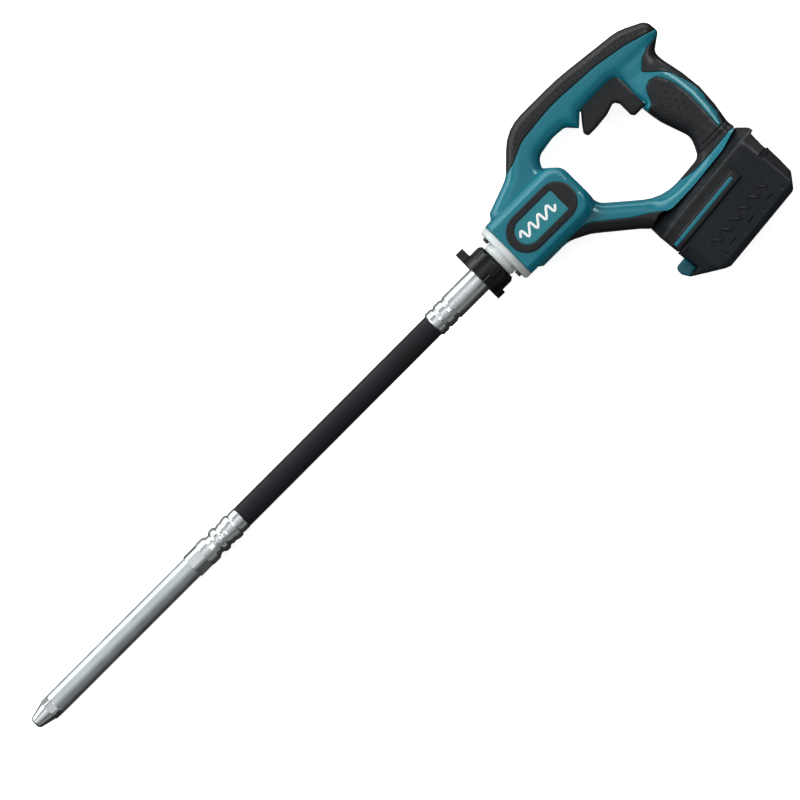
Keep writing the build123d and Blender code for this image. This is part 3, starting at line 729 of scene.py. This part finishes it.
pack_rows = {"pack": [0.5, 1.5], "panel": [0.6, 1.2, 1.8, 2.6]}
pack_web = Web({"pack": pack_loop, "panel": panel_loop}, pack_rows, 3.4, PACK_DENTS)
case = block("battery_case", pack_web, pack_web.within["pack"], pack_height, "battery_black",
             ["battery_tub"], (28.0, 27.0, -27.0, -28.0), body="battery", matrix=PACK_FRAME)
BUTTON_POCKET = ((-156, -49.9, -15.3), (-139.7, -44, 15.3))
cut_box(case, PACK_FRAME, *BUTTON_POCKET)
flap_web = Web({"flap": flap_loop}, {"flap": [0.3, 0.8]}, 3.0)
for hand, matrix in PACK_SIDES:
    block(f"battery_flap_{hand}", flap_web, flap_web.within["flap"],
          lambda p: PACK_PANEL_HEIGHT - fall(gap(p, flap_loop), 0.8, 0.5) * (p[:, 1] > -23),
          "battery_black", [], (38.6,), body="battery", matrix=matrix, base=38.4)
emblem_ripple = ripple(-71, -42.5, length=86, rise=4.0, stroke=3.0, turns=6, slant=0)
emblem = Web({"wave": emblem_ripple}, {"wave": [0.5]}, 2.4)
for hand, matrix in PACK_SIDES:
    block(f"battery_emblem_{hand}", emblem, emblem.within["wave"],
          lambda p: EMBLEM_CREST - fall(gap(p, emblem_ripple), 0.5, 0.3), "battery_black", [],
          (39.3,), body="battery", matrix=matrix, base=39.0)
BUTTON_HALF_WIDTH = 15.0
button_loop = rounded(BUTTON, 1.6)
button_web = Web({"button": button_loop}, {"button": [0.3, 1.0, 2.0, 3.0]}, 2.2)
block("release_button_cap", button_web, button_web.within["button"],
      lambda p: BUTTON_HALF_WIDTH - fall(gap(p, button_loop), 3.0, 2.6), "button_teal",
      ["release_button"], (6.0, -6.0), body="release_button", matrix=PACK_FRAME)


# ---- materials ----
def material(name, colour, rough, grain, wear=0.0, metal=0.0, vary=0.08, grain_size=0.0006,
             rough_vary=0.08, specular=0.5, tint=(1, 1, 1), stretch=(1, 1, 1), wear_colour=None):
    """A moulded or machined finish: mottled colour, uneven gloss, fine grain and light scratches."""
    mat = bpy.data.materials.new(name)
    mat.use_nodes = True
    nodes, links = mat.node_tree.nodes, mat.node_tree.links
    shader = nodes["Principled BSDF"]
    shader.inputs["Metallic"].default_value = metal
    shader.inputs["Specular IOR Level"].default_value = specular
    shader.inputs["Specular Tint"].default_value = (*tint, 1)
    place = nodes.new("ShaderNodeTexCoord")
    mapping = nodes.new("ShaderNodeMapping")
    mapping.inputs["Scale"].default_value = stretch
    links.new(place.outputs["Object"], mapping.inputs["Vector"])

    def noise(scale, detail=3.0):
        node = nodes.new("ShaderNodeTexNoise")
        node.inputs["Scale"].default_value = scale
        node.inputs["Detail"].default_value = detail
        links.new(mapping.outputs["Vector"], node.inputs["Vector"])
        return node.outputs["Fac"]

    def ramp(source, low, high, first, last):
        node = nodes.new("ShaderNodeMapRange")
        node.inputs["From Min"].default_value = low
        node.inputs["From Max"].default_value = high
        node.inputs["To Min"].default_value = first
        node.inputs["To Max"].default_value = last
        links.new(source, node.inputs["Value"])
        return node.outputs["Result"]

    mix = nodes.new("ShaderNodeMix")
    mix.data_type = "RGBA"
    mix.inputs["A"].default_value = (*[c * (1 - vary) for c in colour], 1)
    mix.inputs["B"].default_value = (*[min(1, c * (1 + vary)) for c in colour], 1)
    links.new(ramp(noise(18), 0.3, 0.7, 0, 1), mix.inputs["Factor"])
    scratch = nodes.new("ShaderNodeTexNoise")
    scratch.inputs["Scale"].default_value = 140
    scratch.inputs["Detail"].default_value = 6
    scratch.inputs["Distortion"].default_value = 1.5
    links.new(place.outputs["Object"], scratch.inputs["Vector"])
    worn = ramp(scratch.outputs["Fac"], 0.62, 0.75, 0, wear)
    over = nodes.new("ShaderNodeMix")
    over.data_type = "RGBA"
    over.inputs["B"].default_value = (*(wear_colour or [min(1, c * 1.6 + 0.02) for c in colour]), 1)
    links.new(mix.outputs["Result"], over.inputs["A"])
    links.new(worn, over.inputs["Factor"])
    links.new(over.outputs["Result"], shader.inputs["Base Color"])
    gloss = ramp(noise(60, 4), 0.3, 0.7, max(0.02, rough - rough_vary), min(1, rough + rough_vary))
    links.new(gloss, shader.inputs["Roughness"])
    bump = nodes.new("ShaderNodeBump")
    bump.inputs["Distance"].default_value = 0.0004
    bump.inputs["Strength"].default_value = grain
    links.new(noise(1 / grain_size, 2), bump.inputs["Height"])
    links.new(bump.outputs["Normal"], shader.inputs["Normal"])
    return mat


BRUSHED = (1, 0.05, 0.05)  # grain drawn out round the shaft
finishes = {
    "teal_housing": material("teal_plastic", (0.004, 0.135, 0.184), 0.18, grain=0.05, wear=0.10,
                             vary=0.04, rough_vary=0.04, specular=0.6, tint=(0.72, 1, 1)),
    "badge_teal": material("badge_teal", (0.012, 0.175, 0.21), 0.3, grain=0.05, vary=0.04, specular=0.4),
    "emblem_black": material("emblem_black", (0.0035, 0.0045, 0.0055), 0.3, grain=0.1, vary=0.05,
                             specular=0.2),
    "mark_white": material("mark_white", (0.80, 0.82, 0.82), 0.4, grain=0.05, vary=0.02, specular=0.3),
    "button_teal": material("button_teal", (0.012, 0.085, 0.12), 0.4, grain=0.10, wear=0.2,
                            specular=0.3),
    "black_overmould": material("soft_overmould", (0.0085, 0.0095, 0.0115), 0.34, grain=0.3, wear=0.12,
                                grain_size=0.0009, specular=0.30),
    "black_plastic": material("black_nylon", (0.0070, 0.0085, 0.0100), 0.30, grain=0.2, wear=0.12,
                              grain_size=0.0007, specular=0.3),
    "battery_black": material("battery_plastic", (0.0078, 0.0100, 0.0125), 0.34, grain=0.25, wear=0.12,
                              grain_size=0.0007, specular=0.16),
    "ring_black": material("ring_nylon", (0.0025, 0.003, 0.0035), 0.17, grain=0.10, wear=0.06,
                           rough_vary=0.04, specular=0.36),
    "hose_rubber": material("hose_rubber", (0.0115, 0.0115, 0.0145), 0.5, grain=0.5, wear=0.1,
                            grain_size=0.0012, specular=0.15),
    "head_steel": material("turned_steel", (0.57, 0.625, 0.645), 0.42, grain=0.12, wear=0.3, metal=1.0,
                           grain_size=0.0005, stretch=BRUSHED, wear_colour=(0.4, 0.41, 0.42)),
    "ferrule_steel": material("plated_steel", (0.70, 0.75, 0.76), 0.24, grain=0.08, wear=0.3, metal=1.0,
                              grain_size=0.0004, stretch=BRUSHED, wear_colour=(0.45, 0.46, 0.47)),
    "cap_steel": material("ground_steel", (0.74, 0.79, 0.805), 0.16, grain=0.08, wear=0.2, metal=1.0,
                          grain_size=0.0005, wear_colour=(0.5, 0.51, 0.52)),
    "cast_alloy": material("cast_alloy", (0.60, 0.64, 0.64), 0.5, grain=0.3, wear=0.3, metal=0.3,
                           grain_size=0.001, specular=0.3),
}
# Finishes of the parts inside: colour, roughness and metalness.
INNER = {
    "shaft_steel": ((0.4, 0.41, 0.42), 0.35, 1.0), "bearing_steel": ((0.6, 0.61, 0.62), 0.22, 1.0),
    "spring_steel": ((0.5, 0.5, 0.5), 0.3, 1.0), "screw_steel": ((0.08, 0.085, 0.09), 0.35, 1.0),
    "seal_rubber": ((0.02, 0.02, 0.02), 0.6, 0.0), "motor_alloy": ((0.55, 0.56, 0.57), 0.45, 1.0),
    "lamination": ((0.25, 0.25, 0.26), 0.5, 1.0), "magnet": ((0.3, 0.3, 0.31), 0.3, 1.0),
    "copper_winding": ((0.55, 0.22, 0.1), 0.3, 1.0), "circuit_board": ((0.01, 0.09, 0.03), 0.4, 0.0),
    "potting": ((0.02, 0.02, 0.022), 0.35, 0.0), "wire_insulation": ((0.25, 0.02, 0.02), 0.45, 0.0),
    "contact_brass": ((0.6, 0.42, 0.16), 0.3, 1.0), "cell_sleeve": ((0.06, 0.12, 0.3), 0.4, 0.0),
}
for name, (colour, rough, metal) in INNER.items():
    finishes[name] = material(name, colour, rough, metal=metal, grain=0.15, wear=0.2)

# A piece's finish is that of its material slot, but these differ from the rest of theirs.
FINISH_OF = {
    "head_cap": "cap_steel",
    "badge_wave_left": "mark_white", "badge_wave_right": "mark_white",
    "battery_emblem_left": "emblem_black", "battery_emblem_right": "emblem_black",
}
SLOT_OF = {part["node"]: part["material_slot"] for part in frame["record"]["subparts"]}
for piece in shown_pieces():
    piece.data.materials.clear()
    finish = FINISH_OF.get(piece.name) or piece.get("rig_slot") or SLOT_OF[piece["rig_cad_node"]]
    piece.data.materials.append(finishes[finish])

# ---- floor, light and surroundings ----
REACH = 6.0
floor_corners = [(-REACH, -REACH, 0), (REACH, -REACH, 0), (REACH, REACH, 0), (-REACH, REACH, 0)]
floor_mesh = bpy.data.meshes.new("floor")
floor_mesh.from_pydata(floor_corners, [], [(0, 1, 2, 3)])
floor = bpy.data.objects.new("floor", floor_mesh)
bpy.context.scene.collection.objects.link(floor)
floor_paint = bpy.data.materials.new("floor_paint")
floor_paint.use_nodes = True
paint = floor_paint.node_tree.nodes["Principled BSDF"].inputs
paint["Base Color"].default_value = (0.93, 0.93, 0.93, 1)
paint["Roughness"].default_value = 0.9
paint["Specular IOR Level"].default_value = 0.0
paint["Emission Color"].default_value = (1, 1, 1, 1)
paint["Emission Strength"].default_value = 0.72
floor.visible_glossy = False
floor.visible_diffuse = False
floor_mesh.materials.append(floor_paint)


def lamp(name, place, aim, size, power, gloss_only):
    """A square lamp that gives either reflections only, or everything but reflections."""
    light = bpy.data.lights.new(name, "AREA")
    light.energy = power
    light.size = size
    made = bpy.data.objects.new(name, light)
    made.location = place
    made.rotation_euler = (Vector(aim) - Vector(place)).to_track_quat("-Z", "Y").to_euler()
    made.visible_glossy = gloss_only
    made.visible_diffuse = not gloss_only
    bpy.context.scene.collection.objects.link(made)


lamp("key", (-0.2, 2.3, 2.6), (0, 0, 0), size=1.6, power=62, gloss_only=False)
lamp("end", (1.9, 0.2, 2.3), (0, 0, 0), size=1.1, power=26, gloss_only=True)
lamp("fill", (0.1, -2.8, 0.45), (0.1, 0, 0.04), size=1.2, power=22, gloss_only=False)

# The surroundings: brightness by the direction's turn about the shaft axis, from the zenith (0)
# to the side of the front bar (90) and to the side of the battery (-90).
GLOW = [(-180, 0.03), (-147, 0.03), (-95, 0.03), (-64, 0.3), (-42, 0.12), (-14, 0.48), (4, 0.72), (20, 1.25),
        (34, 0.75), (55, 0.22), (68, 1.8), (82, 3.8), (97, 2.1), (110, 0.6), (135, 0.2), (180, 0.03)]
BACKDROP = (0.92, 0.92, 0.92, 1)
world = bpy.data.worlds.new("studio")
bpy.context.scene.world = world
world.use_nodes = True
nodes, links = world.node_tree.nodes, world.node_tree.links
place = nodes.new("ShaderNodeTexCoord")
split = nodes.new("ShaderNodeSeparateXYZ")
turn = nodes.new("ShaderNodeMath")
turn.operation = "ARCTAN2"
share = nodes.new("ShaderNodeMapRange")
share.inputs["From Min"].default_value = -pi
share.inputs["From Max"].default_value = pi
glow = nodes.new("ShaderNodeValToRGB")
glow.color_ramp.interpolation = "EASE"
while len(glow.color_ramp.elements) < len(GLOW):
    glow.color_ramp.elements.new(0.5)
for stop, (angle, level) in zip(glow.color_ramp.elements, GLOW):
    stop.position = (angle + 180) / 360
    stop.color = (level, level, level, 1)
links.new(place.outputs["Generated"], split.inputs["Vector"])
links.new(split.outputs["Y"], turn.inputs[0])
links.new(split.outputs["Z"], turn.inputs[1])
links.new(turn.outputs["Value"], share.inputs["Value"])
links.new(share.outputs["Result"], glow.inputs["Fac"])
sight = nodes.new("ShaderNodeLightPath")
plain = nodes.new("ShaderNodeMix")
plain.data_type = "RGBA"
plain.inputs["B"].default_value = BACKDROP
links.new(glow.outputs["Color"], plain.inputs["A"])
links.new(sight.outputs["Is Camera Ray"], plain.inputs["Factor"])
links.new(plain.outputs["Result"], nodes["Background"].inputs["Color"])
bpy.context.scene.view_settings.view_transform = "Standard"
